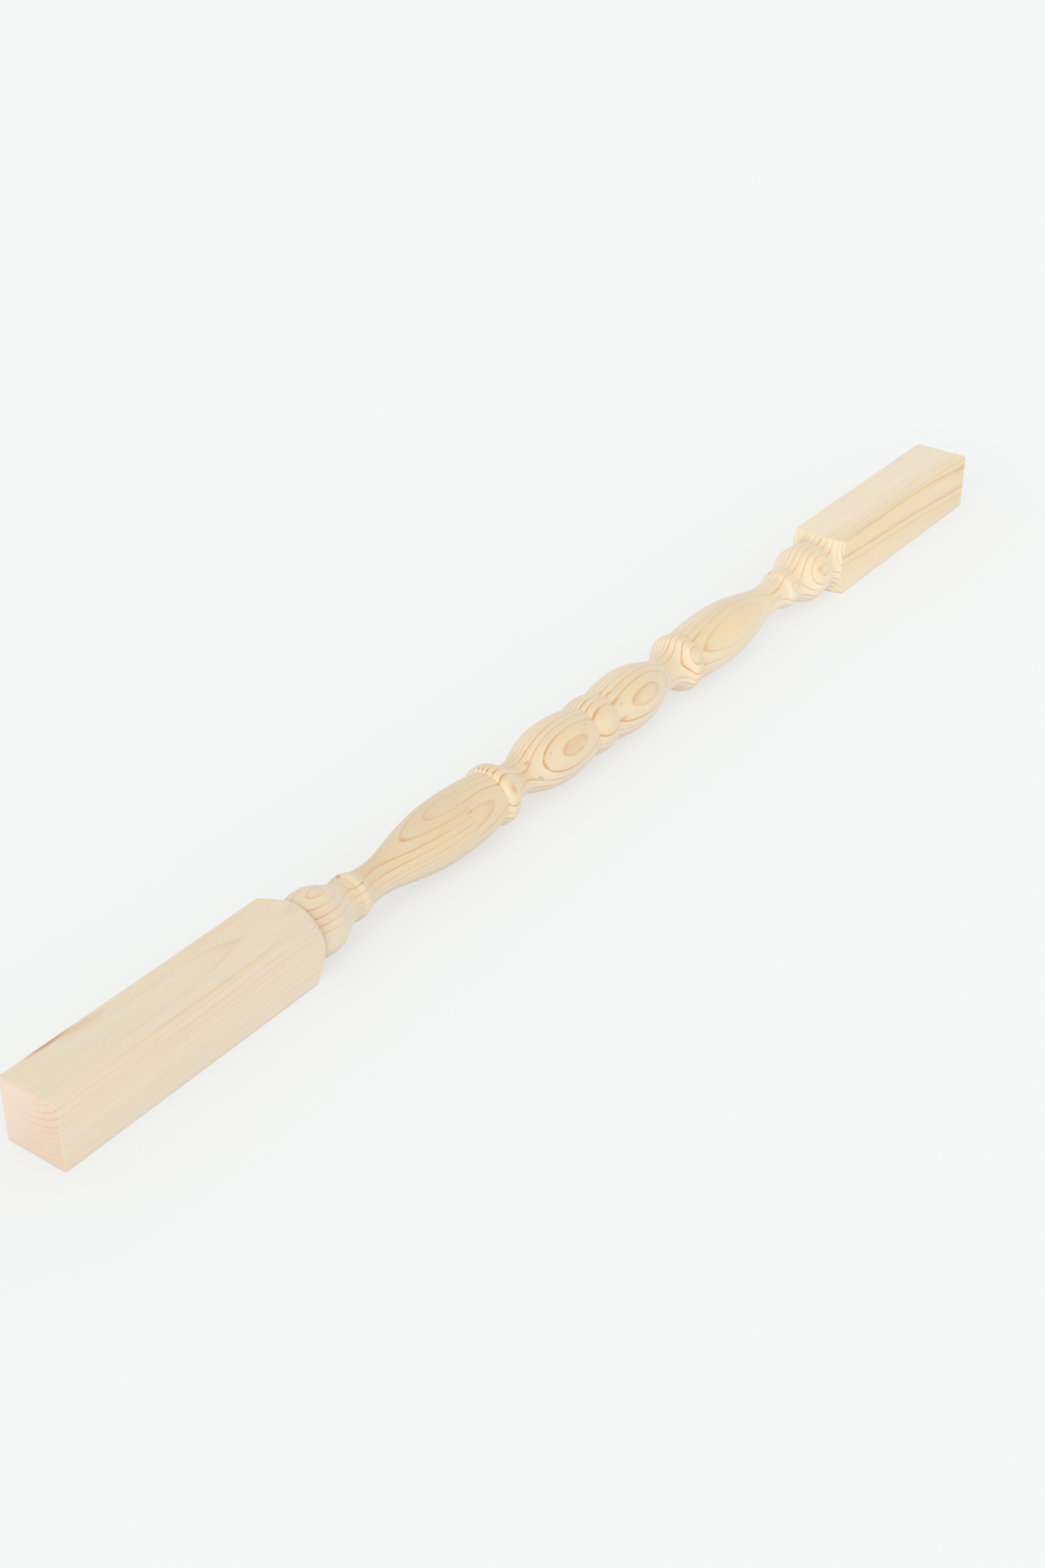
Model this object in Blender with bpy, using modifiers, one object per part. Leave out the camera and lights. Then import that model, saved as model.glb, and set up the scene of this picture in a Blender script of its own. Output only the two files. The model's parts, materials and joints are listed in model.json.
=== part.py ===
"""A turned pine baluster for a stair or a landing: one planed square blank, turned between two square blocks.

It lies along X on the undersides of its blocks, as it would on a bench, with the origin under its middle.
The mouldings are the same on both sides of the middle of the turning: half of a centre bead, an oval, a bell
with a ring, a long vase, a neck with a collar bead, and a bulb that meets the shoulder of the block.
"""
import math

import bpy

# The blank
LENGTH = 0.900             # end to end
SECTION = 0.039            # planed width and height of the blocks
ARRIS = 0.0008             # easing of the planed edges
TURNING_OFFSET = -0.0015   # middle of the turning, from the middle of the blank

# Widths along the axis, from the middle of the turning outwards
BEAD_HALF_WIDTH = 0.0104   # centre bead, crown to groove
OVAL_RISE = 0.0274         # groove to crown
OVAL_FALL = 0.0377         # crown to the neck under the bell
BELL_FLARE = 0.0155        # neck to the lip of the bell
RING_RISE = 0.0051         # lip to the crown of the ring
RING_FALL = 0.0056         # crown of the ring to its groove
VASE_RISE = 0.0357         # groove to crown
VASE_FALL = 0.0653         # crown to the thin neck
NECK_FLARE = 0.0137        # thin neck to the edge of the collar
COLLAR_RISE = 0.0051       # edge to the crown of the collar
COLLAR_FALL = 0.0063       # crown of the collar to its groove
BULB_RISE = 0.0221         # groove to crown
BULB_FALL = 0.0128         # crown to the quirk beside the shoulder
NEAR_QUIRK = 0.0012        # quirk to the rim of the shoulder, at the -X block
FAR_QUIRK = 0.0084         # the same at the +X block
NEAR_SHOULDER = 0.0082     # rim to the corners of the -X block
FAR_SHOULDER = 0.0040      # the same at the +X block

# How far each crown lies below the flats of the blank
BEAD_CUT = 0.0012
OVAL_CUT = 0.00015
RING_CUT = 0.0006
VASE_CUT = 0.0005
BULB_CUT = 0.0001

# How far each groove, and the lip of the bell, lies below the crown beside it
BEAD_GROOVE = 0.0022
BELL_LIP = 0.0018
RING_GROOVE = 0.0024
COLLAR_GROOVE = 0.0010
BULB_QUIRK = 0.0029

# Diameters of the slender parts
OVAL_NECK = 0.0226
THIN_NECK = 0.0207
COLLAR_EDGE = 0.0238
COLLAR_CROWN = 0.0270

# How each curve bends: its handle at either end, as a share of its width, and its slope there
LEVEL = 0.0
BEAD_BEND = (0.45, LEVEL, 0.24, -0.50)
OVAL_RISE_BEND = (0.23, 0.27, 0.47, LEVEL)
OVAL_FALL_BEND = (0.52, LEVEL, 0.22, LEVEL)
BELL_BEND = (0.55, LEVEL, 0.14, 1.60)
RING_RISE_BEND = (0.18, 1.00, 0.39, LEVEL)
RING_FALL_BEND = (0.54, LEVEL, 0.11, -2.00)
VASE_RISE_BEND = (0.22, 0.14, 0.51, LEVEL)
VASE_FALL_BEND = (0.48, LEVEL, 0.26, LEVEL)
NECK_BEND = (0.34, LEVEL, 0.12, 0.80)
COLLAR_RISE_BEND = (0.16, 0.88, 0.24, LEVEL)
COLLAR_FALL_BEND = (0.32, LEVEL, 0.05, -2.00)
BULB_RISE_BEND = (0.37, LEVEL, 0.38, LEVEL)
BULB_FALL_BEND = (0.40, LEVEL, 0.04, -3.30)
QUIRK_BEND = (0.70, LEVEL, 0.15, 1.20)

# Fineness of the turned surface: facets around it, and the width that one facet along a curve answers for
ROUND_STEPS = 36
FACET_WIDTH = 0.0012
FEWEST_FACETS = 2

# Colour of the wood
PINE = (0.78, 0.60, 0.38, 1.0)
PINE_ROUGHNESS = 0.6


def clear_scene():
    """Removes what a new file holds."""
    for thing in list(bpy.data.objects):
        bpy.data.objects.remove(thing)


def pine_material():
    """Bare planed pine, without varnish."""
    material = bpy.data.materials.new("pine")
    material.use_nodes = True
    surface = material.node_tree.nodes["Principled BSDF"]
    surface.inputs["Base Color"].default_value = PINE
    surface.inputs["Roughness"].default_value = PINE_ROUGHNESS
    surface.inputs["Metallic"].default_value = 0.0
    return material


def carry_on(points, width, radius, bend):
    """Carries an outline on by width to radius along a cubic curve, longer curves in more facets."""
    leave, leave_slope, reach, reach_slope = bend
    x0, r0 = points[-1]
    x3, r3 = x0 + width, radius
    x1, r1 = x0 + leave * width, r0 + leave * width * leave_slope
    x2, r2 = x3 - reach * width, r3 - reach * width * reach_slope
    facets = max(FEWEST_FACETS, round(math.sqrt(width / FACET_WIDTH)))
    for facet in range(1, facets + 1):
        t = facet / facets
        s = 1 - t
        x = s**3 * x0 + 3 * s * s * t * x1 + 3 * s * t * t * x2 + t**3 * x3
        r = s**3 * r0 + 3 * s * s * t * r1 + 3 * s * t * t * r2 + t**3 * r3
        points.append((x, r))


def half_outline():
    """The mouldings from the middle of the turning to the quirk, as distances along the axis and radii."""
    flat = SECTION / 2
    bead = flat - BEAD_CUT
    oval = flat - OVAL_CUT
    ring = flat - RING_CUT
    vase = flat - VASE_CUT
    collar = COLLAR_CROWN / 2
    bulb = flat - BULB_CUT
    points = [(0.0, bead)]
    carry_on(points, BEAD_HALF_WIDTH, bead - BEAD_GROOVE, BEAD_BEND)
    carry_on(points, OVAL_RISE, oval, OVAL_RISE_BEND)
    carry_on(points, OVAL_FALL, OVAL_NECK / 2, OVAL_FALL_BEND)
    carry_on(points, BELL_FLARE, ring - BELL_LIP, BELL_BEND)
    carry_on(points, RING_RISE, ring, RING_RISE_BEND)
    carry_on(points, RING_FALL, ring - RING_GROOVE, RING_FALL_BEND)
    carry_on(points, VASE_RISE, vase, VASE_RISE_BEND)
    carry_on(points, VASE_FALL, THIN_NECK / 2, VASE_FALL_BEND)
    carry_on(points, NECK_FLARE, COLLAR_EDGE / 2, NECK_BEND)
    carry_on(points, COLLAR_RISE, collar, COLLAR_RISE_BEND)
    carry_on(points, COLLAR_FALL, collar - COLLAR_GROOVE, COLLAR_FALL_BEND)
    carry_on(points, BULB_RISE, bulb, BULB_RISE_BEND)
    carry_on(points, BULB_FALL, bulb - BULB_QUIRK, BULB_FALL_BEND)
    return points


def shoulder(points, quirk, depth):
    """Carries an outline from the quirk up to the rim, and out in a cone through the corners of the block."""
    rim = SECTION / 2
    corner = SECTION / math.sqrt(2)
    clear = corner + ARRIS
    slope = depth / (corner - rim)
    carry_on(points, quirk, rim, QUIRK_BEND)
    x = points[-1][0]
    points.append((x + slope * (clear - rim), clear))


def turning_outline():
    """The whole outline, from the shoulder of the -X block to the shoulder of the +X block."""
    near = half_outline()
    far = half_outline()
    shoulder(near, NEAR_QUIRK, NEAR_SHOULDER)
    shoulder(far, FAR_QUIRK, FAR_SHOULDER)
    mirrored = [(-x, r) for x, r in reversed(near[1:])]
    return [(TURNING_OFFSET + x, r) for x, r in mirrored + far]


def turning_waste(outline, axis_height, collection):
    """What the gouge takes off: a ring around the outline, turned about the axis of the blank."""
    outer = outline[0][1] + ARRIS
    start = outline[0][0]
    end = outline[-1][0]
    profile = [(outer, 0, end), (outer, 0, start)]
    profile += [(radius, 0, x) for x, radius in outline]
    edges = [(i, (i + 1) % len(profile)) for i in range(len(profile))]
    mesh = bpy.data.meshes.new("turning_waste")
    mesh.from_pydata(profile, edges, [])
    cutter = bpy.data.objects.new("turning_waste", mesh)
    cutter.location = (0, 0, axis_height)
    cutter.rotation_euler = (0, math.radians(90), 0)
    cutter.hide_render = True
    cutter.display_type = "WIRE"
    collection.objects.link(cutter)
    screw = cutter.modifiers.new("turn", "SCREW")
    screw.axis = "Z"
    screw.steps = ROUND_STEPS
    screw.render_steps = ROUND_STEPS
    screw.use_merge_vertices = True
    screw.merge_threshold = 0.00001
    return cutter


def square_blank(axis_height, collection, material):
    """The planed square blank, with eased edges."""
    bpy.ops.mesh.primitive_cube_add(size=1, location=(0, 0, axis_height))
    blank = bpy.context.active_object
    blank.name = "baluster"
    blank.data.name = "baluster"
    blank.scale = (LENGTH, SECTION, SECTION)
    bpy.ops.object.transform_apply(location=False, rotation=False, scale=True)
    for owner in list(blank.users_collection):
        owner.objects.unlink(blank)
    collection.objects.link(blank)
    blank.data.materials.append(material)
    blank.data.shade_smooth()
    blank.data.set_sharp_from_angle(angle=math.radians(30))
    bevel = blank.modifiers.new("eased edges", "BEVEL")
    bevel.width = ARRIS
    bevel.segments = 2
    bevel.limit_method = "ANGLE"
    return blank


def build():
    """Makes the blank and turns it."""
    clear_scene()
    parts = bpy.data.collections.new("wooden baluster")
    cutters = bpy.data.collections.new("cutters")
    bpy.context.scene.collection.children.link(parts)
    bpy.context.scene.collection.children.link(cutters)
    axis_height = SECTION / 2
    baluster = square_blank(axis_height, parts, pine_material())
    waste = turning_waste(turning_outline(), axis_height, cutters)
    turning = baluster.modifiers.new("turning", "BOOLEAN")
    turning.operation = "DIFFERENCE"
    turning.solver = "EXACT"
    turning.object = waste


build()
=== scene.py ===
# %% [markdown]
# # A turned pine baluster
# The object is one stick of pine, 900 mm long. Its two ends are left square, and the run between them was
# turned on a lathe into beads, ovals, a bell, a vase and a bulb. The CAD model holds its true sizes. This
# script makes a finer skin of the same form, gives it the wood, and sets it on a pale floor in soft
# light.

# %% The frame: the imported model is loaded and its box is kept
import json
import math

import bpy
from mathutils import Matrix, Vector

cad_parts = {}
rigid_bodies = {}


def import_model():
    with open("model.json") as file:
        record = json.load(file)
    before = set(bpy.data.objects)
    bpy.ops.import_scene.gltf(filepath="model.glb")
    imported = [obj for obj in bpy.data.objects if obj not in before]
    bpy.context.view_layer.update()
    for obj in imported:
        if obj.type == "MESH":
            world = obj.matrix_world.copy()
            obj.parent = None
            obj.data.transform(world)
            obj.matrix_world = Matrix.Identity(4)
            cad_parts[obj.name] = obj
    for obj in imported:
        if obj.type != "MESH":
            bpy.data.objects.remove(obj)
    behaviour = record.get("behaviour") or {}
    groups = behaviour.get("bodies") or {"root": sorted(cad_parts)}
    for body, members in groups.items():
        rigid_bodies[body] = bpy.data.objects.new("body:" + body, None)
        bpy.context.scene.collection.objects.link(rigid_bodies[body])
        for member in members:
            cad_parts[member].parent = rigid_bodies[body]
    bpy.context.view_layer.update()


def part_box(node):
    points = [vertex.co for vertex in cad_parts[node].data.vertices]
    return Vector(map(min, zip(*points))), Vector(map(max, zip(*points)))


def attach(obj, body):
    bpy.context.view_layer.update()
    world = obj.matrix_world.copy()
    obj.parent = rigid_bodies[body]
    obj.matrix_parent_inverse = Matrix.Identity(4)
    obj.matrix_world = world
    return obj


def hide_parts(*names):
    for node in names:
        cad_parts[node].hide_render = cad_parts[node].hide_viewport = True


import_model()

stick_low, stick_high = [[float(v) for v in corner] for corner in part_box("baluster")]
LENGTH = stick_high[0] - stick_low[0]
SECTION = stick_high[2] - stick_low[2]
AXIS_HEIGHT = (stick_low[2] + stick_high[2]) / 2
MM = 0.001
print("stick", round(LENGTH / MM, 1), "mm long and", round(SECTION / MM, 1), "mm square")

# %% [markdown]
# ## Camera
# The photograph looks down along the stick from beyond its near end. The place and the lens were found by
# fitting a camera to the corners of the two square blocks, so the stick runs through the picture as it
# does there.

# %% The camera, where the photograph was taken from
CAMERA_PLACE = (-0.9411, -0.6447, 0.6964)
CAMERA_HEADING = 36.457
CAMERA_DOWN = 32.248
LENS = 50.67
SENSOR_WIDTH = 36
CLIP_START = 0.01

camera = bpy.data.objects.new("camera", bpy.data.cameras.new("camera"))
bpy.context.scene.collection.objects.link(camera)
camera.location = CAMERA_PLACE
camera.rotation_euler = (math.radians(90 - CAMERA_DOWN), 0, math.radians(CAMERA_HEADING - 90))
camera.data.lens = LENS
camera.data.sensor_width = SENSOR_WIDTH
camera.data.clip_start = CLIP_START
bpy.context.scene.camera = camera
print("camera at", CAMERA_PLACE, "with a lens of", LENS, "mm")

# %% [markdown]
# ## Short names for shader nodes
# A material can be painted by hand, or worked out from where a point lies. Painting needs a picture for
# every side. Working it out needs only sums, so both materials here are made of small sums, one node
# each. The helpers below add such a node to the tree that `tree` names at the time, and give back what
# comes out of it.

# %% Helpers that add one node each
def feed(socket, value):
    """Links a socket to another node, or sets it to a plain value."""
    if isinstance(value, bpy.types.NodeSocket):
        tree.links.new(value, socket)
    else:
        socket.default_value = value


def maths(operation, *values):
    """One sum of one, two or three values."""
    made = tree.nodes.new("ShaderNodeMath")
    made.operation = operation
    for socket, value in zip(made.inputs, values):
        feed(socket, value)
    return made.outputs["Value"]


def product(first, *others):
    """Values multiplied with one another."""
    for value in others:
        first = maths("MULTIPLY", first, value)
    return first


def vector_maths(operation, first, second=None, output="Vector", scale=None):
    """One sum of one or two vectors."""
    made = tree.nodes.new("ShaderNodeVectorMath")
    made.operation = operation
    feed(made.inputs[0], first)
    if second is not None:
        feed(made.inputs[1], second)
    if scale is not None:
        feed(made.inputs["Scale"], scale)
    return made.outputs[output]


def soft_step(value, low, high, at_low=0.0, at_high=1.0, curve="SMOOTHSTEP"):
    """Goes smoothly from at_low to at_high while value goes from low to high."""
    made = tree.nodes.new("ShaderNodeMapRange")
    made.interpolation_type = curve
    limits = {"Value": value, "From Min": low, "From Max": high, "To Min": at_low, "To Max": at_high}
    for name, number in limits.items():
        feed(made.inputs[name], number)
    return made.outputs["Result"]


def fade_in(value, span, most=1.0):
    """Goes smoothly from 0 below the span to most above it."""
    return soft_step(value, *span, 0.0, most)


def fade_out(value, span, most=1.0):
    """Goes smoothly from most below the span to 0 above it."""
    return soft_step(value, *span, most, 0.0)


def split(vector):
    """The three parts of a vector."""
    made = tree.nodes.new("ShaderNodeSeparateXYZ")
    feed(made.inputs["Vector"], vector)
    return made.outputs


# %% Helpers that read a list of greys and mix colours
def ramp(value, stops, steps=False):
    """Reads a number from 0 to 1 off a list of places from 0 to 1."""
    made = tree.nodes.new("ShaderNodeValToRGB")
    made.color_ramp.interpolation = "CONSTANT" if steps else "LINEAR"
    elements = made.color_ramp.elements
    while len(elements) > 1:
        elements.remove(elements[-1])
    for number, (place, grey) in enumerate(stops):
        element = elements[0] if number == 0 else elements.new(place)
        element.position = place
        element.color = (grey, grey, grey, 1)
    feed(made.inputs["Fac"], value)
    return made.outputs["Color"]


def mix(share, first, second):
    """Mixes two colours: the first where share is 0, the second where it is 1."""
    made = tree.nodes.new("ShaderNodeMix")
    made.data_type = "RGBA"
    made.clamp_factor = True
    feed(made.inputs["Factor"], share)
    feed(made.inputs["A"], first)
    feed(made.inputs["B"], second)
    return made.outputs["Result"]


def paint(red, green, blue):
    """A colour by its eight-bit values, as a paint program shows them, made linear by the sRGB rule."""
    values = []
    for part in (red, green, blue):
        share = part / 255
        values.append(share / 12.92 if share <= 0.04045 else ((share + 0.055) / 1.055) ** 2.4)
    return (*values, 1.0)


print("nodes are added by helpers")

# %% [markdown]
# ## Floor and light
# The stick lies on a white sheet that glows a little, as thin paper over a light table does, under light
# that comes from everywhere. Only a faint shade is left beside it, and a bright even world does most of
# that. Part of that faint shade is painted into the sheet, which glows a little less beside the stick.
# A wide window on the left brightens the sawn end and every slope that faces it, and a large lamp, low
# and far off at the front, keeps the sides of the far half from turning dull.

# %% A white floor
FLOOR_HALF = 12.0
FLOOR_WHITE = (0.350, 0.354, 0.352, 1)
FLOOR_ROUGHNESS = 0.9
GLOW_COLOUR = (0.980, 1.0, 0.992, 1)

bpy.ops.mesh.primitive_plane_add(size=2 * FLOOR_HALF, location=(0, 0, 0))
floor = bpy.context.active_object
floor.name = "floor"
floor_material = bpy.data.materials.new("white floor")
floor_material.use_nodes = True
floor_surface = floor_material.node_tree.nodes["Principled BSDF"]
floor_surface.inputs["Base Color"].default_value = FLOOR_WHITE
floor_surface.inputs["Roughness"].default_value = FLOOR_ROUGHNESS
floor_surface.inputs["Specular IOR Level"].default_value = 0.0
floor_surface.inputs["Emission Color"].default_value = GLOW_COLOUR
floor.data.materials.append(floor_material)
print("floor", 2 * FLOOR_HALF, "m wide")

# %% Its glow, a little less beside the stick, as a painted shade
FLOOR_GLOW = 0.588
SHADED_GLOW = 0.558
SHADE_BACK = 0.010
SHADE_SPAN = (0.030, 0.150)

tree = floor_material.node_tree
on_floor = tree.nodes.new("ShaderNodeTexCoord").outputs["Object"]
from_shade = vector_maths("ABSOLUTE", vector_maths("SUBTRACT", on_floor, (0.0, SHADE_BACK, 0.0)))
past_stick = vector_maths("SUBTRACT", from_shade, (LENGTH / 2, 0.0, 0.0))
reach = vector_maths("LENGTH", vector_maths("MAXIMUM", past_stick, (0.0, 0.0, 0.0)), output="Value")
glow = soft_step(reach, *SHADE_SPAN, SHADED_GLOW, FLOOR_GLOW, curve="LINEAR")
feed(floor_surface.inputs["Emission Strength"], glow)
print("glow from", SHADED_GLOW, "beside the stick to", FLOOR_GLOW)

# %% A bright world, a soft light from the left and a wide, faint lamp at the front
WORLD_LIGHT = 0.86
WINDOW_POWER = 0.90
WINDOW_WIDTH = 40.0
WINDOW_FROM = (-0.90, -0.18, 0.42)
LAMP_POWER = 8.2
LAMP_WIDTH = 1.2
LAMP_COLOUR = (0.92, 0.96, 1.0)
LAMP_PLACE = (1.25, -2.35, 0.34)
LAMP_TARGET = (0.24, 0.0, 0.02)


def add_light(name, kind, place, target):
    """A light at a place, turned towards a target."""
    light = bpy.data.objects.new(name, bpy.data.lights.new(name, kind))
    bpy.context.scene.collection.objects.link(light)
    light.location = place
    light.rotation_euler = (Vector(target) - Vector(place)).to_track_quat("-Z", "Y").to_euler()
    return light.data


world = bpy.data.worlds.new("bright room")
world.use_nodes = True
background = world.node_tree.nodes["Background"]
background.inputs["Color"].default_value = (1.0, 1.0, 1.0, 1)
background.inputs["Strength"].default_value = WORLD_LIGHT
bpy.context.scene.world = world

window = add_light("window", "SUN", WINDOW_FROM, (0.0, 0.0, 0.0))
window.energy = WINDOW_POWER
window.angle = math.radians(WINDOW_WIDTH)

lamp = add_light("fill lamp", "AREA", LAMP_PLACE, LAMP_TARGET)
lamp.energy = LAMP_POWER
lamp.color = LAMP_COLOUR
lamp.shape = "DISK"
lamp.size = LAMP_WIDTH

bpy.context.scene.view_settings.view_transform = "Standard"
print("world", WORLD_LIGHT, "window", WINDOW_POWER, "lamp", LAMP_POWER)

# %% [markdown]
# ## The turned outline
# A lathe turns whatever outline the tool follows, so the whole run is one line: how far the surface is
# from the axis, at each place along the stick. Each moulding is one or two cubic curves between a crown,
# a groove and a neck. The sizes are those of the CAD model. The curves get more points, so that the light
# runs over them without facets.

# %% Sizes of the mouldings, from the middle of the turning outwards
TURNING_OFFSET = -1.5 * MM
LEVEL = 0.0
FLAT = SECTION / 2
FLAT_MM = FLAT / MM

MOULDINGS = [
    # width along the axis, radius at its end, and how it bends: handle and slope at either end
    (10.4, FLAT_MM - 3.4, (0.45, LEVEL, 0.24, -0.50)),    # half of the centre bead, to its groove
    (27.4, FLAT_MM - 0.15, (0.23, 0.27, 0.47, LEVEL)),    # up the oval
    (37.7, 11.3, (0.52, LEVEL, 0.22, LEVEL)),             # down to the neck of the oval
    (15.5, FLAT_MM - 2.4, (0.55, LEVEL, 0.14, 1.60)),     # the bell, to its lip
    (5.1, FLAT_MM - 0.6, (0.18, 1.00, 0.39, LEVEL)),      # up the ring
    (5.6, FLAT_MM - 3.0, (0.54, LEVEL, 0.11, -2.00)),     # down to its groove
    (35.7, FLAT_MM - 0.5, (0.22, 0.14, 0.51, LEVEL)),     # up the vase
    (65.3, 10.35, (0.48, LEVEL, 0.26, LEVEL)),            # down to the thin neck
    (13.7, 11.9, (0.34, LEVEL, 0.12, 0.80)),              # out to the edge of the collar
    (5.1, 13.5, (0.16, 0.88, 0.24, LEVEL)),               # up the collar
    (6.3, 12.5, (0.32, LEVEL, 0.05, -2.00)),              # down to its groove
    (22.1, FLAT_MM - 0.1, (0.37, LEVEL, 0.38, LEVEL)),    # up the bulb
    (12.8, FLAT_MM - 3.0, (0.40, LEVEL, 0.04, -3.30)),    # down to the quirk
]
BEAD_CROWN = FLAT - 1.2 * MM
QUIRK_BEND = (0.70, LEVEL, 0.15, 1.20)
NEAR_QUIRK, NEAR_SHOULDER = 1.2 * MM, 8.2 * MM
FAR_QUIRK, FAR_SHOULDER = 8.4 * MM, 4.0 * MM
CORNER = SECTION / math.sqrt(2)
PAST_CORNER = 1.5 * MM
POINT_SPACING = 0.9 * MM
FEWEST_POINTS = 4
print(len(MOULDINGS), "curves on either side of the middle")


# %% The whole outline, from one block to the other
def carry_on(points, width, radius, bend):
    """Carries an outline on by width to radius along a cubic curve, in steps of about POINT_SPACING."""
    leave, leave_slope, reach, reach_slope = bend
    x0, r0 = points[-1]
    x1, r1 = x0 + leave * width, r0 + leave * width * leave_slope
    x2, r2 = x0 + width - reach * width, radius - reach * width * reach_slope
    steps = max(FEWEST_POINTS, math.ceil(math.hypot(width, radius - r0) / POINT_SPACING))
    for step in range(1, steps + 1):
        t = step / steps
        s = 1 - t
        x = s**3 * x0 + 3 * s * s * t * x1 + 3 * s * t * t * x2 + t**3 * (x0 + width)
        r = s**3 * r0 + 3 * s * s * t * r1 + 3 * s * t * t * r2 + t**3 * radius
        points.append((x, r))


def half_outline(quirk, shoulder):
    """The outline from the middle of the turning to past the corners of one block."""
    points = [(0.0, BEAD_CROWN)]
    for width, radius, bend in MOULDINGS:
        carry_on(points, width * MM, radius * MM, bend)
    carry_on(points, quirk, FLAT, QUIRK_BEND)
    slope = shoulder / (CORNER - FLAT)
    beyond = CORNER + PAST_CORNER
    points.append((points[-1][0] + slope * (beyond - FLAT), beyond))
    return points


near_half = half_outline(NEAR_QUIRK, NEAR_SHOULDER)
far_half = half_outline(FAR_QUIRK, FAR_SHOULDER)
outline = [(TURNING_OFFSET - x, r) for x, r in reversed(near_half[1:])]
outline += [(TURNING_OFFSET + x, r) for x, r in far_half]
print(len(outline), "points, from", round(outline[0][0] / MM), "to", round(outline[-1][0] / MM), "mm")

# %% [markdown]
# ## Turning
# On the real lathe the gouge takes away everything outside the outline. Here the outline is drawn by
# extruding one point, then spun about the axis into a round body whose ends are wider than the square
# stick. What that body and the square stick have in common is the baluster, and the shoulders of the
# blocks get their curved edges by themselves, as they do in wood. Taking a ring of waste off the stick
# would give the same form, but a plain round body is easier to draw than a hollow one.

# %% The outline is drawn as a chain of edges
PAST_END = LENGTH / 2 + 5 * MM
FIRST_POINT = 10 * MM


def nothing_selected():
    """Leaves edit mode's operators nothing but what is added next."""
    if bpy.context.mode != "OBJECT":
        bpy.ops.object.mode_set(mode="OBJECT")
    bpy.ops.object.select_all(action="DESELECT")


nothing_selected()
bpy.ops.mesh.primitive_plane_add(size=FIRST_POINT, location=(0, 0, 0))
turned = bpy.context.active_object
turned.name = "turned body"
bpy.ops.object.mode_set(mode="EDIT")
bpy.ops.mesh.select_all(action="SELECT")
bpy.ops.mesh.merge(type="CENTER")
bpy.ops.transform.translate(value=(-PAST_END, 0, AXIS_HEIGHT))
here = (-PAST_END, 0.0)
closed = [(-PAST_END, outline[0][1])] + outline + [(PAST_END, outline[-1][1]), (PAST_END, 0.0)]
for x, radius in closed:
    step = (x - here[0], 0, radius - here[1])
    bpy.ops.mesh.extrude_vertices_move(TRANSFORM_OT_translate={"value": step})
    here = (x, radius)
print("chain of", len(closed), "edges")

# %% The chain is spun about the axis
AROUND = 128
MERGE_WITHIN = 0.02 * MM

bpy.ops.mesh.select_all(action="SELECT")
bpy.ops.mesh.spin(steps=AROUND, angle=math.radians(360), center=(0, 0, AXIS_HEIGHT), axis=(1, 0, 0))
bpy.ops.mesh.select_all(action="SELECT")
bpy.ops.mesh.remove_doubles(threshold=MERGE_WITHIN)
bpy.ops.mesh.normals_make_consistent(inside=False)
bpy.ops.object.mode_set(mode="OBJECT")
print("turned body:", len(turned.data.polygons), "faces")

# %% The square stick, with its edges eased
ARRIS = 0.8 * MM
ARRIS_STEPS = 4

nothing_selected()
bpy.ops.mesh.primitive_cube_add(size=1, location=(0, 0, AXIS_HEIGHT))
baluster = bpy.context.active_object
baluster.name = "pine_baluster"
baluster.scale = (LENGTH, SECTION, SECTION)
bpy.ops.object.transform_apply(location=True, rotation=True, scale=True)
bpy.ops.object.mode_set(mode="EDIT")
bpy.ops.mesh.select_all(action="SELECT")
bpy.ops.mesh.bevel(offset=ARRIS, segments=ARRIS_STEPS, affect="EDGES")
bpy.ops.object.mode_set(mode="OBJECT")
print("square stick:", len(baluster.data.polygons), "faces")

# %% What the two have in common
SHARP_FROM = 28

common = baluster.modifiers.new("turning", "BOOLEAN")
common.operation = "INTERSECT"
common.solver = "EXACT"
common.object = turned
bpy.context.view_layer.objects.active = baluster
bpy.ops.object.modifier_apply(modifier=common.name)
bpy.data.objects.remove(turned)
nothing_selected()
baluster.select_set(True)
bpy.context.view_layer.objects.active = baluster
bpy.ops.object.shade_smooth_by_angle(angle=math.radians(SHARP_FROM))
print("baluster:", len(baluster.data.polygons), "faces,", len(baluster.data.vertices), "points")

# %% [markdown]
# ## The wood
# Pine is a soft, pale wood with a plain story: each year of growth starts pale and ends in a thin, hard,
# orange line, and the years lie round the heart of the tree like pipes, one inside the other. Every
# figure on a turned baluster, the eyes on its ovals, the hooks on its vase and the stripes on its beads,
# is only where the gouge has cut through those pipes. So the wood here is solid. A material works out how
# far each point lies from the heart of the tree, and from that what year it grew in. The eyes and hooks
# then come by themselves wherever the surface curves.

# %% Where a point lies in the stick, in millimetres, and how its face lies
HALF_LENGTH = LENGTH / 2 / MM

wood = bpy.data.materials.new("turned pine")
wood.use_nodes = True
tree = wood.node_tree
surface = tree.nodes["Principled BSDF"]

place = tree.nodes.new("ShaderNodeTexCoord").outputs["Object"]
place = vector_maths("SCALE", place, scale=1 / MM)
place = vector_maths("SUBTRACT", place, (0.0, 0.0, AXIS_HEIGHT / MM))
along, across, up = split(place)
share_along = maths("MULTIPLY_ADD", along, 0.5 / HALF_LENGTH, 0.5)
face_along, face_across, face_up = split(tree.nodes.new("ShaderNodeTexCoord").outputs["Normal"])
print("places from", -HALF_LENGTH, "to", HALF_LENGTH, "mm along")


# %% Noise that is stretched along the stick
SEED_STEPS = (1.0, 1.7, 2.3)
WANDER_MM = 1.1


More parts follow.
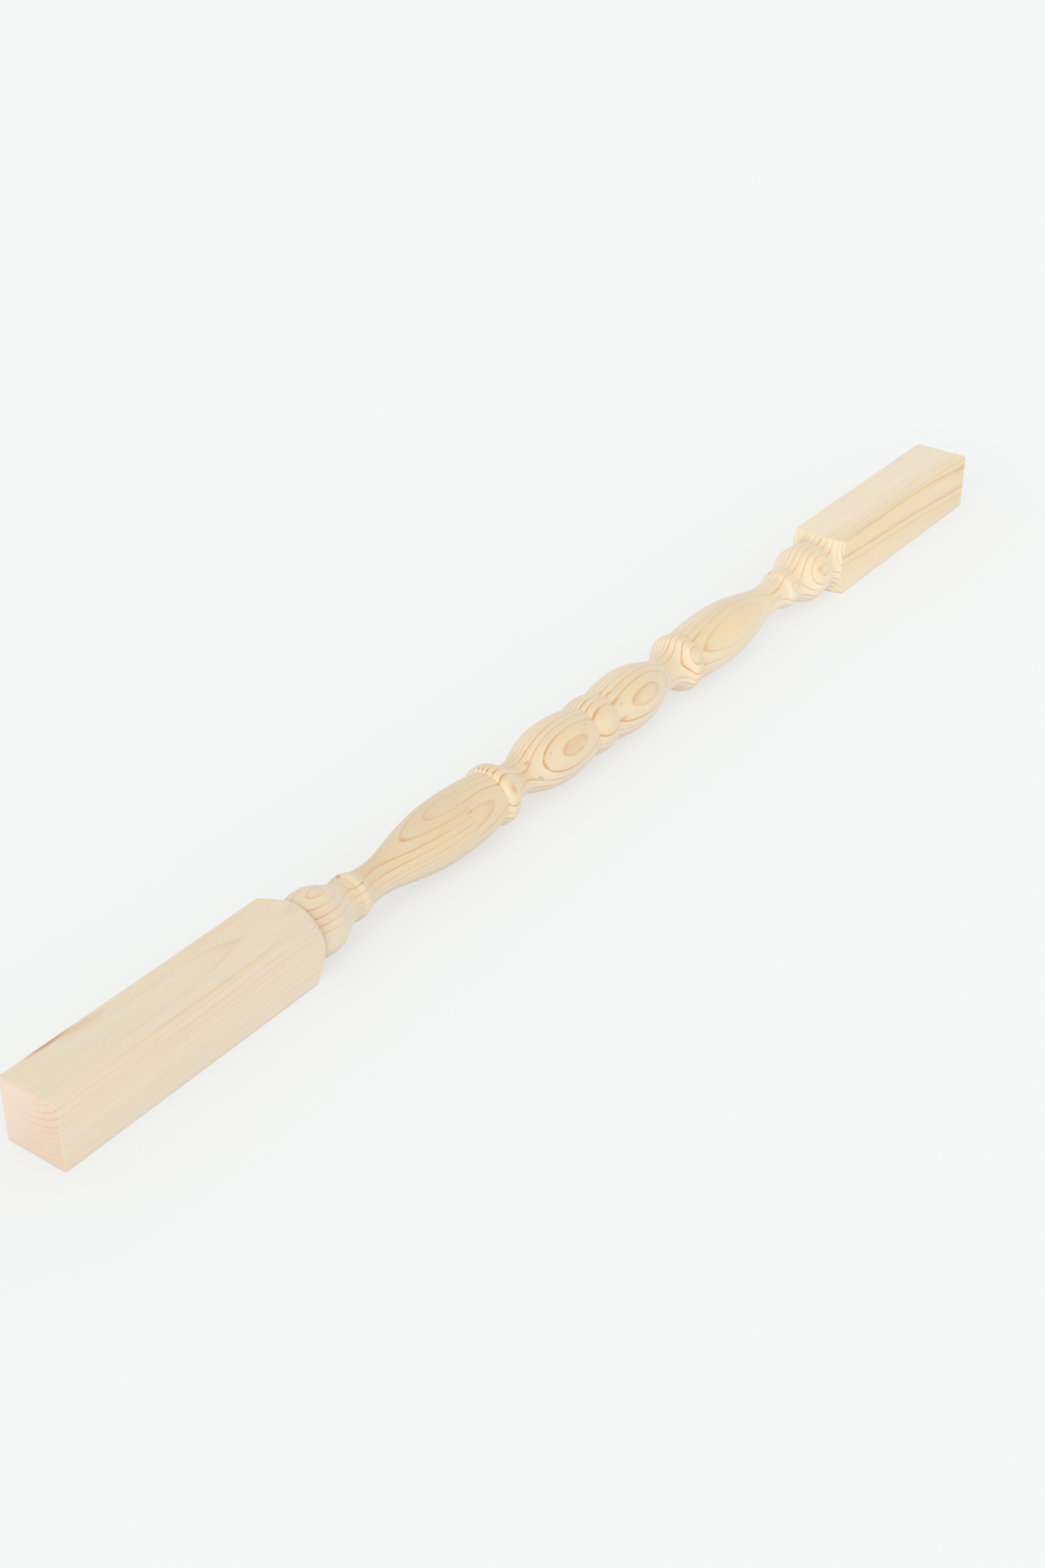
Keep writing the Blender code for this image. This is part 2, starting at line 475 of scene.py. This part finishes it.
def noise(size, detail, rough, seed=0.0, colour=False):
    """Noise whose blotches are about size millimetres long, across and high."""
    mapping = tree.nodes.new("ShaderNodeMapping")
    feed(mapping.inputs["Vector"], place)
    mapping.inputs["Location"].default_value = tuple(seed * step for step in SEED_STEPS)
    mapping.inputs["Scale"].default_value = tuple(1.0 / side for side in size)
    made = tree.nodes.new("ShaderNodeTexNoise")
    feed(made.inputs["Vector"], mapping.outputs["Vector"])
    made.inputs["Scale"].default_value = 1.0
    made.inputs["Detail"].default_value = detail
    made.inputs["Roughness"].default_value = rough
    return made.outputs["Color" if colour else "Fac"]


wander = noise(size=(60, 14, 14), detail=2.0, rough=0.45, colour=True)
wander = vector_maths("SUBTRACT", wander, (0.5, 0.5, 0.5))
wander_x, wander_y, wander_z = split(vector_maths("SCALE", wander, scale=WANDER_MM))
print("the heart lines wander by up to", WANDER_MM / 2, "mm")

# %% [markdown]
# ## The heart of the tree
# The stick is finger-jointed from two lengths of pine, as cheap long sticks are, and the joint sits in
# the near vase. Neither length holds the heart of its tree. In the near one the heart ran about 45 mm
# above the stick, so its top is cut flat through the years and shows long hooks. In the far one it ran
# towards the viewer and above, and the eyes on the ovals look that way. A tree is never quite straight,
# so each heart is a bent line: where it is across and up, at a few places along the stick. A curve node
# holds such a line.

# %% The two heart lines
NEAR_HEART = [
    # along, across, up, in millimetres from the middle of the stick
    (-450, 3.5, 43.8), (-380, 1.6, 45.0), (-340, 2.0, 45.4), (-306, 2.2, 46.5), (-290, 0.8, 46.9),
    (-256, -2.8, 45.8), (-229, 0.2, 44.4), (-204, -0.4, 44.1), (-173, -3.8, 44.3), (-130, -6.0, 44.2),
]
FAR_HEART = [
    (-138, -45.4, 24.4), (-118, -44.0, 27.4), (-98, -44.7, 28.2), (-40, -44.8, 26.8), (0, -44.4, 28.4),
    (36, -44.4, 27.0), (84, -42.0, 28.6), (101, -42.3, 28.9), (150, -40.1, 27.2), (182, -38.6, 27.6),
    (203, -41.6, 23.2), (229, -42.6, 17.6), (249, -40.5, 18.2), (300, -40.4, 15.0), (380, -40.2, 10.6),
    (450, -40.4, 4.1),
]
HEART_REACH = 60.0
print("hearts bend at", len(NEAR_HEART), "and", len(FAR_HEART), "places")


# %% How far each point lies from them
def bent_line(points):
    """A smooth curve through (along, distance) points, read by the place along the stick."""
    made = tree.nodes.new("ShaderNodeFloatCurve")
    curve = made.mapping.curves[0]
    scaled = [(0.5 + 0.5 * x / HALF_LENGTH, 0.5 + 0.5 * value / HEART_REACH) for x, value in points]
    curve.points[0].location = scaled[0]
    curve.points[1].location = scaled[-1]
    for x, value in scaled[1:-1]:
        curve.points.new(x, value)
    made.mapping.update()
    feed(made.inputs["Value"], share_along)
    return maths("MULTIPLY_ADD", made.outputs["Value"], 2 * HEART_REACH, -HEART_REACH)


def distance_from(heart, wander_across, wander_up):
    """How far a point lies from a heart line, straight across the stick."""
    line_across = bent_line([(x, y) for x, y, z in heart])
    line_up = bent_line([(x, z) for x, y, z in heart])
    off_across = maths("SUBTRACT", maths("ADD", across, wander_across), line_across)
    off_up = maths("SUBTRACT", maths("ADD", up, wander_up), line_up)
    return maths("SQRT", maths("ADD", product(off_across, off_across), product(off_up, off_up)))


near_distance = distance_from(NEAR_HEART, wander_x, wander_y)
far_distance = distance_from(FAR_HEART, wander_y, wander_z)
print("distances reach", HEART_REACH, "mm to either side of a heart")

# %% [markdown]
# ## Years of growth
# A year is pale for most of its width, darkens slowly towards its end, and stops sharply where the next
# one starts. Good and bad summers make years of different widths and lines of different strength, so both
# are lists. The ramp turns a distance into a number of years, whose fraction says how far on in its year
# a point is.

# %% The years of both trees
NEAR_YEARS = [
    # radius at the end of the year in millimetres, and strength of its line
    (18.0, 0.20), (21.0, 0.15), (25.2, 0.10), (27.1, 0.42), (30.5, 0.50), (34.6, 0.58),
    (38.5, 0.64), (42.6, 0.46), (45.5, 0.40), (48.5, 0.34), (51.4, 0.30), (54.7, 0.30),
    (58.0, 0.28), (61.5, 0.28), (65.2, 0.28), (69.0, 0.28),
]
FAR_YEARS = [
    (19.0, 0.40), (22.8, 0.85), (25.6, 0.60), (29.5, 0.66), (33.8, 0.58), (38.1, 0.86),
    (42.3, 0.54), (46.5, 0.72), (49.4, 0.50), (52.6, 0.42), (56.2, 0.40), (60.0, 0.40),
    (64.2, 0.35), (69.0, 0.35),
]
RADIUS_REACH = 80.0
MOST_YEARS = 18
STRENGTH_CHANGES = 0.4


def year_number(distance, years):
    """How many of the listed years old the tree was when it grew the wood at this distance."""
    stops = [(0.0, 0.0)]
    for n, (radius, strength) in enumerate(years):
        stops.append((radius / RADIUS_REACH, (n + 1) / MOST_YEARS))
    stops.append((1.0, (len(years) + 1) / MOST_YEARS))
    return product(ramp(maths("MULTIPLY", distance, 1 / RADIUS_REACH), stops), MOST_YEARS)


def line_strength(number, years):
    """How strong this year's line is. The strength changes early in the year, where no line shows."""
    stops = [(0.0, years[0][1])]
    for n, (radius, strength) in enumerate(years):
        stops.append(((n + STRENGTH_CHANGES) / MOST_YEARS, strength))
    return ramp(maths("MULTIPLY", number, 1 / MOST_YEARS), stops, steps=True)


near_number = year_number(near_distance, NEAR_YEARS)
far_number = year_number(far_distance, FAR_YEARS)
near_line = line_strength(near_number, NEAR_YEARS)
far_line = line_strength(far_number, FAR_YEARS)
print(len(NEAR_YEARS), "years in the near length and", len(FAR_YEARS), "in the far one")

# %% [markdown]
# ## The finger joint
# The two lengths meet in the near vase, where the lines of one tree stop and those of the other start.
# Past the joint the material reads the other heart and the other list of years. The fingers lie one above
# the other, so the joint is a zigzag where it is seen from the side.

# %% One tree up to the joint, the other past it
JOINT = -135.5
FINGER = 3.0
finger = maths("PINGPONG", up, FINGER)
past_joint = maths("GREATER_THAN", maths("SUBTRACT", along, finger), JOINT - FINGER / 2)


def either(near_value, far_value):
    """The near tree's value before the joint, and the far tree's past it."""
    return maths("ADD", near_value, product(past_joint, maths("SUBTRACT", far_value, near_value)))


number = either(near_number, far_number)
line = either(near_line, far_line)
print("joint at", JOINT, "mm")

# %% [markdown]
# ## The line at the end of a year
# Through the year the wood darkens as the list says, with a thin false line in the middle, where a dry
# spell halted growth. No line is even: it fades and comes back along the tree.

# %% How late in its year the wood grew
SEASON = [
    # how far on in the year, and how dark
    (0.0, 0.50), (0.04, 0.10), (0.09, 0.0), (0.42, 0.03), (0.48, 0.13), (0.52, 0.04),
    (0.66, 0.08), (0.80, 0.20), (0.90, 0.64), (0.945, 1.0), (0.985, 1.0), (1.0, 0.50),
]
UNEVEN_SPAN = (0.30, 0.62)

season = maths("FRACT", number)
patches = noise(size=(34, 5, 5), detail=3.0, rough=0.6, seed=3.1)
uneven = soft_step(patches, *UNEVEN_SPAN, at_low=0.55, at_high=1.15)
late = product(ramp(season, SEASON), line, uneven)
print("a year has", len(SEASON), "shades")

# %% [markdown]
# ## Fibres and pores
# Between the lines the wood is made of fibres that run along the tree. They show as faint streaks, long
# and very thin, so this noise is stretched a hundred times along the stick. On a sawn end the same noise
# shows as dots. The canals that carry resin are short dark dashes, few and far between.

# %% Streaks of three sizes, and canals
CANAL_SPAN = (0.69, 0.78)
fine_fibre = noise(size=(26, 0.22, 0.22), detail=3.0, rough=0.6, seed=7.7)
coarse_fibre = noise(size=(70, 1.1, 1.1), detail=3.0, rough=0.55, seed=11.3)
broad_tone = noise(size=(120, 9, 9), detail=2.0, rough=0.5, seed=17.9)
canals = fade_in(noise(size=(7, 0.32, 0.32), detail=1.0, rough=0.4, seed=23.3), CANAL_SPAN)
print("fibres, broad streaks and canals")

# %% [markdown]
# ## Colours
# Pine is nearly the same colour all over, and a range of a few shades is what tells planed wood from
# turned wood, and a face in the light from one near the floor. Most are named by where they are on the
# stick, and the others by the way they shift the shade.

# %% The colours of the wood
NEAR_PLANED = paint(234, 220, 194)
FAR_PLANED = paint(247, 229, 198)
NEAR_TURNED = paint(226, 204, 164)
FAR_TURNED = paint(232, 213, 175)
INNER_WOOD = paint(238, 212, 156)
NEAR_FLANK = paint(231, 214, 186)
FAR_FLANK = paint(238, 221, 190)
NEAR_SAWN = paint(223, 195, 166)
FAR_SAWN = paint(239, 218, 178)
LINE = paint(217, 158, 96)
PLANED_LINE = paint(226, 175, 92)
WARM = paint(234, 205, 154)
COOL = paint(222, 210, 188)
PAINTED_HIGHLIGHT = paint(246, 229, 218)
CREAM = paint(250, 232, 196)
PINKISH = paint(236, 205, 188)
HONEY = paint(246, 221, 158)
FLOOR_LIT = paint(255, 240, 225)
SHADED_EDGE = paint(200, 164, 142)


def wash(tone, colour, *limits, share=None):
    """Mixes a colour into the tone by a share, as far as each of the limits lets it."""
    if share is not None:
        limits = (*limits, share)
    return mix(product(*limits), tone, colour)


def not_in(limit):
    """Where a limit doesn't hold."""
    return maths("SUBTRACT", 1.0, limit)


print("colours named")

# %% [markdown]
# ## Planed, turned and sawn wood
# The planed blocks are a little paler than the turned wood, which is cut across the fibres and shows more
# of the yellow. A point is planed where it lies in a block and close to a flat. How steep a curve is
# shows in how far its face looks along the stick.

# %% Where the wood is planed
BLOCKS_BETWEEN = -2.0
BLOCK_SPAN = (259.0, 262.0)
FLAT_SPAN = (19.1, 19.42)

off_axis = maths("MAXIMUM", maths("ABSOLUTE", across), maths("ABSOLUTE", up))
in_block = fade_in(maths("ABSOLUTE", maths("SUBTRACT", along, BLOCKS_BETWEEN)), BLOCK_SPAN)
planed = product(fade_in(off_axis, FLAT_SPAN), in_block)
planed_far = product(planed, past_joint)
slope = maths("ABSOLUTE", face_along)
print("planed from", BLOCK_SPAN[1] + BLOCKS_BETWEEN, "mm outwards")

# %% The near length: paler far out from its heart, and at its bulb
NEAR_OUTER_SPAN = (37.0, 48.0)
NEAR_BULB_SPAN = (-242.0, -210.0)

near_tone = mix(planed, NEAR_TURNED, NEAR_PLANED)
near_tone = wash(near_tone, NEAR_PLANED, fade_in(near_distance, NEAR_OUTER_SPAN), share=0.50)
near_tone = wash(near_tone, NEAR_PLANED, fade_out(along, NEAR_BULB_SPAN), share=0.42)
print("tone of the near length")

# %% The far length: yellower near its heart, paler far out, and close to the near length at the joint
FAR_INNER_SPAN = (26.0, 42.0)
FAR_OUTER_SPAN = (40.0, 48.0)
TO_MIDDLE = (-136.0, 0.0)
FAR_VASE_SPAN = (95.0, 125.0)
JOINT_BLEND = (-136.0, -100.0)

far_outer = fade_in(far_distance, FAR_OUTER_SPAN)
far_tone = mix(planed, FAR_TURNED, FAR_PLANED)
far_tone = wash(far_tone, INNER_WOOD, fade_out(far_distance, FAR_INNER_SPAN), share=0.55)
paler_to_middle = soft_step(along, *TO_MIDDLE, at_low=0.10, at_high=0.50)
far_tone = wash(far_tone, FAR_PLANED, far_outer, paler_to_middle)
far_tone = wash(far_tone, FAR_PLANED, far_outer, fade_in(along, FAR_VASE_SPAN), share=0.40)
far_tone = wash(far_tone, near_tone, fade_out(along, JOINT_BLEND), share=0.60)
tone = mix(past_joint, near_tone, far_tone)
print("tone of the far length")

# %% Streaks, fibres and canals
WARM_PATCHES = (0.50, 0.75)
COOL_PATCHES = (0.28, 0.50)
COARSE_SPAN = (0.35, 0.70)
PLANED_STREAKS = (0.48, 0.66)
FINE_SPAN = (0.30, 0.72)

tone = wash(tone, WARM, fade_in(broad_tone, WARM_PATCHES), share=0.25)
tone = wash(tone, COOL, fade_out(broad_tone, COOL_PATCHES), share=0.25)
tone = wash(tone, WARM, fade_in(coarse_fibre, COARSE_SPAN), share=0.16)
tone = wash(tone, WARM, fade_in(coarse_fibre, PLANED_STREAKS), planed, share=0.22)
tone = wash(tone, LINE, fade_out(fine_fibre, FINE_SPAN), share=0.12)
tone = wash(tone, LINE, canals, share=0.30)
print("streaks, fibres and canals added")

# %% [markdown]
# ## Wood cut across its fibres
# Where a curve is steep, the fibres are cut almost square across, and drink in light: flanks look chalky,
# and sawn faces look duller and more even. The crown of the near collar is paler, in a narrow band.

# %% Flanks, sawn faces and the collar
FLANK_SPAN = (0.10, 0.55)
SAWN_SPAN = (0.70, 0.95)
COLLAR_PLACE = -223.7
COLLAR_SPAN = (1.0, 3.2)

steep = fade_in(slope, SAWN_SPAN)
tone = wash(tone, mix(past_joint, NEAR_FLANK, FAR_FLANK), fade_in(slope, FLANK_SPAN), share=0.75)
tone = wash(tone, mix(past_joint, NEAR_SAWN, FAR_SAWN), steep, share=0.80)
from_collar = maths("ABSOLUTE", maths("SUBTRACT", along, COLLAR_PLACE))
tone = wash(tone, CREAM, fade_out(from_collar, COLLAR_SPAN), share=0.45)
print("flanks and sawn faces added")

# %% [markdown]
# ## Shades of single parts
# No stick is the same shade from end to end. The near block has a pink cast at the front, the far block a
# warm one, and the two bulbs are creamier and more golden than what lies beside them. The front of the
# turning is painted by how the light falls on it: the near neck and the ovals a little greyer there, and
# the upper front of the far bulb a little warmer.

# %% Shades of the bulbs and of the fronts of the blocks
BULB_FOOT = (-266.0, -262.0)
BULB_TOP = (-240.0, -228.0)
FAR_BULB_TOP = (222.0, 232.0)
FAR_BULB_FOOT = (262.0, 266.0)
PLANED_FRONT = (-0.95, -0.80)
NEAR_HALF_END = (-200.0, -190.0)

block_front = product(fade_out(face_across, PLANED_FRONT), planed)
tone = wash(tone, CREAM, fade_out(along, BULB_TOP), fade_in(along, BULB_FOOT), share=0.17)
tone = wash(tone, WARM, block_front, past_joint, share=0.15)
tone = wash(tone, PINKISH, block_front, fade_out(along, NEAR_HALF_END), share=0.15)
tone = wash(tone, HONEY, fade_in(along, FAR_BULB_TOP), fade_out(along, FAR_BULB_FOOT), share=0.16)
print("bulbs and fronts shaded")

# %% Painted light on the front of the turning
TURNED_FRONT = (-0.95, -0.60)
NECK_END = (-195.0, -180.0)
OVALS_FROM = (-85.0, -75.0)
OVALS_TO = (75.0, 90.0)
FAR_BULB_FROM = (215.0, 225.0)
ABOVE_LEVEL = (-0.17, 0.34)

turned_front = product(fade_out(face_across, TURNED_FRONT), not_in(in_block))
on_ovals = product(fade_in(along, OVALS_FROM), fade_out(along, OVALS_TO))
cool_run = maths("MAXIMUM", fade_out(along, NECK_END), on_ovals)
# Painted light: the front of the near neck and of the ovals is made a little greyer.
tone = wash(tone, COOL, turned_front, cool_run, share=0.20)
above_level = fade_in(face_up, ABOVE_LEVEL)
# Painted light: the upper front of the far bulb is made a little warmer.
tone = wash(tone, WARM, turned_front, fade_in(along, FAR_BULB_FROM), above_level, share=0.22)
print("front of the turning shaded")

# %% [markdown]
# ## Close to the floor
# Below, the stick touches the floor and gathers a soft brown shade at its lowest edges. A little higher
# up, the far half is lit by the white sheet, and looks paler than the wood is. The renderer gives less of
# that light than the photograph shows, so a thin wash stands for the rest.

# %% Shaded below, lit by the floor beside it
LOW_EDGE = (-19.4, -17.6)
UNDERSIDE = (-0.75, -0.20)
LOW_SIDE = (-0.30, 0.80)
LIT_RUN = (-100.0, 240.0)
LIT_FROM = -105.0
FAR_END_LIT = (150.0, 200.0)

low_edge = product(in_block, fade_out(up, LOW_EDGE, most=0.45))
underside = product(fade_out(face_up, UNDERSIDE, most=0.50), not_in(in_block))
tone = wash(tone, SHADED_EDGE, maths("MAXIMUM", low_edge, underside))

lit_share = soft_step(along, *LIT_RUN, at_low=0.14, at_high=0.26)
low_side = product(fade_out(face_up, LOW_SIDE), lit_share, maths("GREATER_THAN", along, LIT_FROM))
floor_lit = maths("ADD", low_side, fade_in(along, FAR_END_LIT, most=0.10))
tone = wash(tone, FLOOR_LIT, floor_lit, not_in(planed))
print("shade and light of the floor added")

# %% [markdown]
# ## How bold the lines are
# The same line of hard wood looks bold where the gouge crossed it and faint where the plane ran along it.
# It is bolder on slopes that face the near end than on those that face away. In the near block one weak
# year hardly shows. In the far block the years close to the heart are bold and the others are faint.

# %% Bold on near slopes, faint on planed faces
SLOPE_SPAN = (-0.50, 0.50)
NEAR_BLOCK_RUN = (-400.0, -300.0)
FAR_HEART_YEARS = (24.0, 28.0)
WEAK_YEAR_FROM = (28.2, 29.0)
WEAK_YEAR_TO = (31.0, 32.5)

boldness = soft_step(face_along, *SLOPE_SPAN, at_low=1.40, at_high=0.50)
before_weak = soft_step(near_distance, *WEAK_YEAR_FROM, at_low=1.0, at_high=0.30)
not_weak = maths("MAXIMUM", before_weak, fade_in(near_distance, WEAK_YEAR_TO))
near_planed = product(soft_step(along, *NEAR_BLOCK_RUN, at_low=0.28, at_high=0.50), not_weak)
far_planed = soft_step(far_distance, *FAR_HEART_YEARS, at_low=1.60, at_high=0.14)
boldness = product(boldness, mix(planed, (1, 1, 1, 1), either(near_planed, far_planed)))
print("lines by slope and by cut")

# %% Fainter on the far vase, bolder on the far bulb and on the flanks of the bead and the ring
FAR_VASE_BOLDNESS = 0.46
FAR_BULB_BOLDNESS = 1.60
FAR_BULB_RUN = (218.0, 238.0)
BEAD_PLACE, BEAD_FLANK = -8.0, (3.0, 6.0)
RING_PLACE, RING_FLANK = -101.0, (2.5, 5.0)
UPPER_SIDE = (0.55, 0.85)
FLANK_GAIN = 0.9

from_far_vase = soft_step(along, *FAR_VASE_SPAN, at_low=1.0, at_high=FAR_VASE_BOLDNESS)
from_far_bulb = soft_step(along, *FAR_BULB_RUN, at_low=1.0, at_high=FAR_BULB_BOLDNESS)
boldness = product(boldness, from_far_vase, from_far_bulb)
bead_flank = fade_out(maths("ABSOLUTE", maths("SUBTRACT", along, BEAD_PLACE)), BEAD_FLANK)
ring_flank = fade_out(maths("ABSOLUTE", maths("SUBTRACT", along, RING_PLACE)), RING_FLANK)
flanks = product(maths("MAXIMUM", bead_flank, ring_flank), fade_in(face_up, UPPER_SIDE))
boldness = product(boldness, maths("MULTIPLY_ADD", flanks, FLANK_GAIN, 1.0))
print("lines by part")

# %% [markdown]
# ## The sawn near end
# A saw tears the ends of the fibres. The light falls at a tilt over one corner of the near end, and a
# painted highlight makes that corner paler, with hardly a line in it.

# %% A painted highlight on one corner of the sawn end
SAWN_END = (-0.99, -0.95)
CORNER_TILT = -0.7
CORNER_SPAN = (-14.0, 26.0)
SAWN_BOLDNESS = 0.78
CORNER_BOLDNESS = 0.2
CORNER_FULL = 0.8

sawn = fade_out(face_along, SAWN_END)
towards_corner = maths("SUBTRACT", across, maths("MULTIPLY", up, CORNER_TILT))
highlight_corner = product(sawn, fade_in(towards_corner, CORNER_SPAN))
in_corner = soft_step(highlight_corner, 0.0, CORNER_FULL, at_low=1.0, at_high=CORNER_BOLDNESS)
on_saw_cut = soft_step(sawn, 0.0, 1.0, at_low=1.0, at_high=SAWN_BOLDNESS)
boldness = product(boldness, in_corner, on_saw_cut)
# Painted highlight: the lit corner of the sawn end is mixed paler.
tone = wash(tone, PAINTED_HIGHLIGHT, highlight_corner, share=0.35)
print("sawn end done")

# %% [markdown]
# ## Laying in the lines
# Last come the lines themselves. In the far length they are yellower on planed and sawn wood than on
# turned wood. Where the front of the far block is cut flat along the years close to the heart, each of
# them darkens in a broad band before its line.

# %% The lines go over the tone
BAND_YEARS = (26.0, 30.0)
BAND_SEASON = (0.45, 0.93)

bands = product(planed_far, fade_out(far_distance, BAND_YEARS))
tone = wash(tone, PLANED_LINE, bands, fade_in(season, BAND_SEASON), share=0.24)
line_tone = mix(product(maths("MAXIMUM", planed, steep), past_joint), LINE, PLANED_LINE)
tone = wash(tone, line_tone, late, boldness)
print("lines laid in")

# %% [markdown]
# ## Marks
# Some marks follow no rule: a streak of resin along the back edge of the near block, blotches where the
# gouge left a groove and tore the hard lines, and a few specks on the ovals. Each is a soft spot at a
# place on the surface, long along the fibres and narrow across them.

# %% Spots at places on the surface
RESIN = paint(192, 132, 80)
BLOTCH = paint(210, 145, 78)
TORN = paint(184, 152, 122)
AMBER = paint(222, 172, 98)
TAN = paint(222, 186, 138)
MARKS = [
    # along, angle from the top towards the viewer, length, width, strength, colour
    (-419, -43.6, 20, 2.8, 0.70, RESIN),
    (-400, -38.5, 20, 4.0, 0.30, BLOTCH),
    (-226.2, -21.0, 1.8, 2.4, 0.90, RESIN),
    (-224.4, -30.0, 1.8, 2.4, 0.90, RESIN),
    (-221, 35.0, 3.5, 0.9, 0.60, BLOTCH),
    (-180, 6.0, 2.6, 3.0, 0.30, BLOTCH),
    (-167, 1.0, 2.2, 0.8, 0.40, BLOTCH),
    (-136, 46.0, 5.0, 1.0, 0.55, BLOTCH),
    (-131, 0.0, 0.9, 3.2, 0.40, BLOTCH),
    (-97.5, 57.0, 3.6, 6.5, 0.28, BLOTCH),
    (-72, 28.0, 4.5, 1.6, 0.70, BLOTCH),
    (-67, 2.0, 6.5, 0.9, 0.55, BLOTCH),
    (-69, 81.0, 1.8, 0.9, 0.75, TORN),
    (-67.5, 87.0, 1.8, 0.9, 0.75, TORN),
    (-57, 45.0, 1.4, 0.8, 0.50, BLOTCH),
    (-22, 38.0, 2.0, 0.7, 0.60, BLOTCH),
    (-9, 31.0, 3.0, 1.2, 0.40, BLOTCH),
    (12, 34.0, 8.0, 2.0, 0.62, BLOTCH),
    (12, 12.0, 7.0, 1.0, 0.60, BLOTCH),
    (12, 75.0, 7.0, 1.5, 0.50, BLOTCH),
    (11, -3.0, 7.0, 0.9, 0.55, BLOTCH),
    (14, 46.0, 2.0, 1.0, 0.45, BLOTCH),
    (55, 40.0, 1.2, 0.8, 0.35, BLOTCH),
    (105, 56.0, 3.5, 2.6, 0.40, BLOTCH),
    (202, 42.0, 9.0, 1.6, 0.50, BLOTCH),
    (203, 66.0, 6.0, 1.6, 0.30, BLOTCH),
    (217, -28.0, 2.4, 2.2, 0.75, BLOTCH),
    (217, -10.0, 2.4, 1.2, 0.50, BLOTCH),
    (446, 58.0, 18, 5.0, 0.50, AMBER),
    (245, 61.0, 4.0, 4.0, 0.45, BLOTCH),
    (267, -36.0, 5.0, 9.0, 0.60, TAN),
    (-64, -11.0, 9.0, 0.8, 0.45, BLOTCH),
    (-101.2, -21.0, 2.4, 1.1, 0.60, BLOTCH),
    (-101.2, -12.0, 2.4, 1.1, 0.60, BLOTCH),
    (-101.2, -1.0, 2.4, 1.1, 0.60, BLOTCH),
    (-101.0, 11.0, 2.4, 1.1, 0.60, BLOTCH),
    (-38, 57.0, 13.0, 5.0, 0.18, BLOTCH),
    (-345, 39.6, 110, 1.2, 0.32, AMBER),
    (340, 45.6, 110, 1.4, 0.40, AMBER),
]
SPOT_EDGE = (0.25, 1.0)
SHORTEST_STEP = 0.01 * MM
print(len(MARKS), "marks listed")


# %% Each mark is mixed in at its place
def turned_radius(x):
    """How far the turned surface is from the axis at x, in metres."""
    last = len(outline) - 1
    after = next((n for n, (where, radius) in enumerate(outline) if where > x), last)
    (x0, r0), (x1, r1) = outline[max(after - 1, 0)], outline[after]
    share = (x - x0) / max(x1 - x0, SHORTEST_STEP)
    return r0 + (r1 - r0) * min(max(share, 0), 1)


def place_on_surface(x, angle):
    """The place at x millimetres along and at an angle, on the turned surface or the planed flats."""
    turn = math.radians(angle)
    flat_radius = FLAT / max(abs(math.cos(turn)), abs(math.sin(turn)))
    radius = min(turned_radius(x * MM), flat_radius) / MM
    return (x, -radius * math.sin(turn), radius * math.cos(turn))


for x, angle, length, width, strength, colour in MARKS:
    off = vector_maths("SUBTRACT", place, place_on_surface(x, angle))
    off = vector_maths("DIVIDE", off, (length, width, width))
    spot = fade_out(vector_maths("LENGTH", off, output="Value"), SPOT_EDGE, most=strength)
    tone = wash(tone, colour, spot, uneven)
print("marks added")

# %% [markdown]
# ## The finish
# The real baluster is bare wood, sanded on the lathe and not varnished: mostly matt, with a little gloss
# on the hard lines, and a faint cool bloom of loose fibres where it turns away from the eye. The fibres
# are too fine to model, so a slight bump stands for them.

# %% Bare wood, a little smoother on its hard lines
SOFT_ROUGHNESS = 0.50
HARD_ROUGHNESS = 0.42
GLOSS = 0.6
BLOOM = 0.30
BLOOM_ROUGHNESS = 0.6
BLOOM_TINT = (0.72, 0.88, 1.0, 1)
FIBRE_BUMP = 0.25
FIBRE_HEIGHT = 0.2 * MM
FIBRE_SHARE = 0.5
LINE_SHARE = 0.5

feed(surface.inputs["Base Color"], tone)
feed(surface.inputs["Roughness"], soft_step(late, 0.0, 1.0, SOFT_ROUGHNESS, HARD_ROUGHNESS))
surface.inputs["Specular IOR Level"].default_value = GLOSS
surface.inputs["Sheen Weight"].default_value = BLOOM
surface.inputs["Sheen Roughness"].default_value = BLOOM_ROUGHNESS
surface.inputs["Sheen Tint"].default_value = BLOOM_TINT
bump = tree.nodes.new("ShaderNodeBump")
bump.inputs["Strength"].default_value = FIBRE_BUMP
bump.inputs["Distance"].default_value = FIBRE_HEIGHT
height = maths("MULTIPLY_ADD", fine_fibre, FIBRE_SHARE, maths("MULTIPLY", late, LINE_SHARE))
feed(bump.inputs["Height"], height)
feed(surface.inputs["Normal"], bump.outputs["Normal"])
print("pine material:", len(tree.nodes), "nodes")

# %% The wood goes on the baluster, which stands for the CAD solid
baluster.data.materials.clear()
baluster.data.materials.append(wood)
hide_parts("baluster")
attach(baluster, "root")
print("baluster stands for the CAD solid")
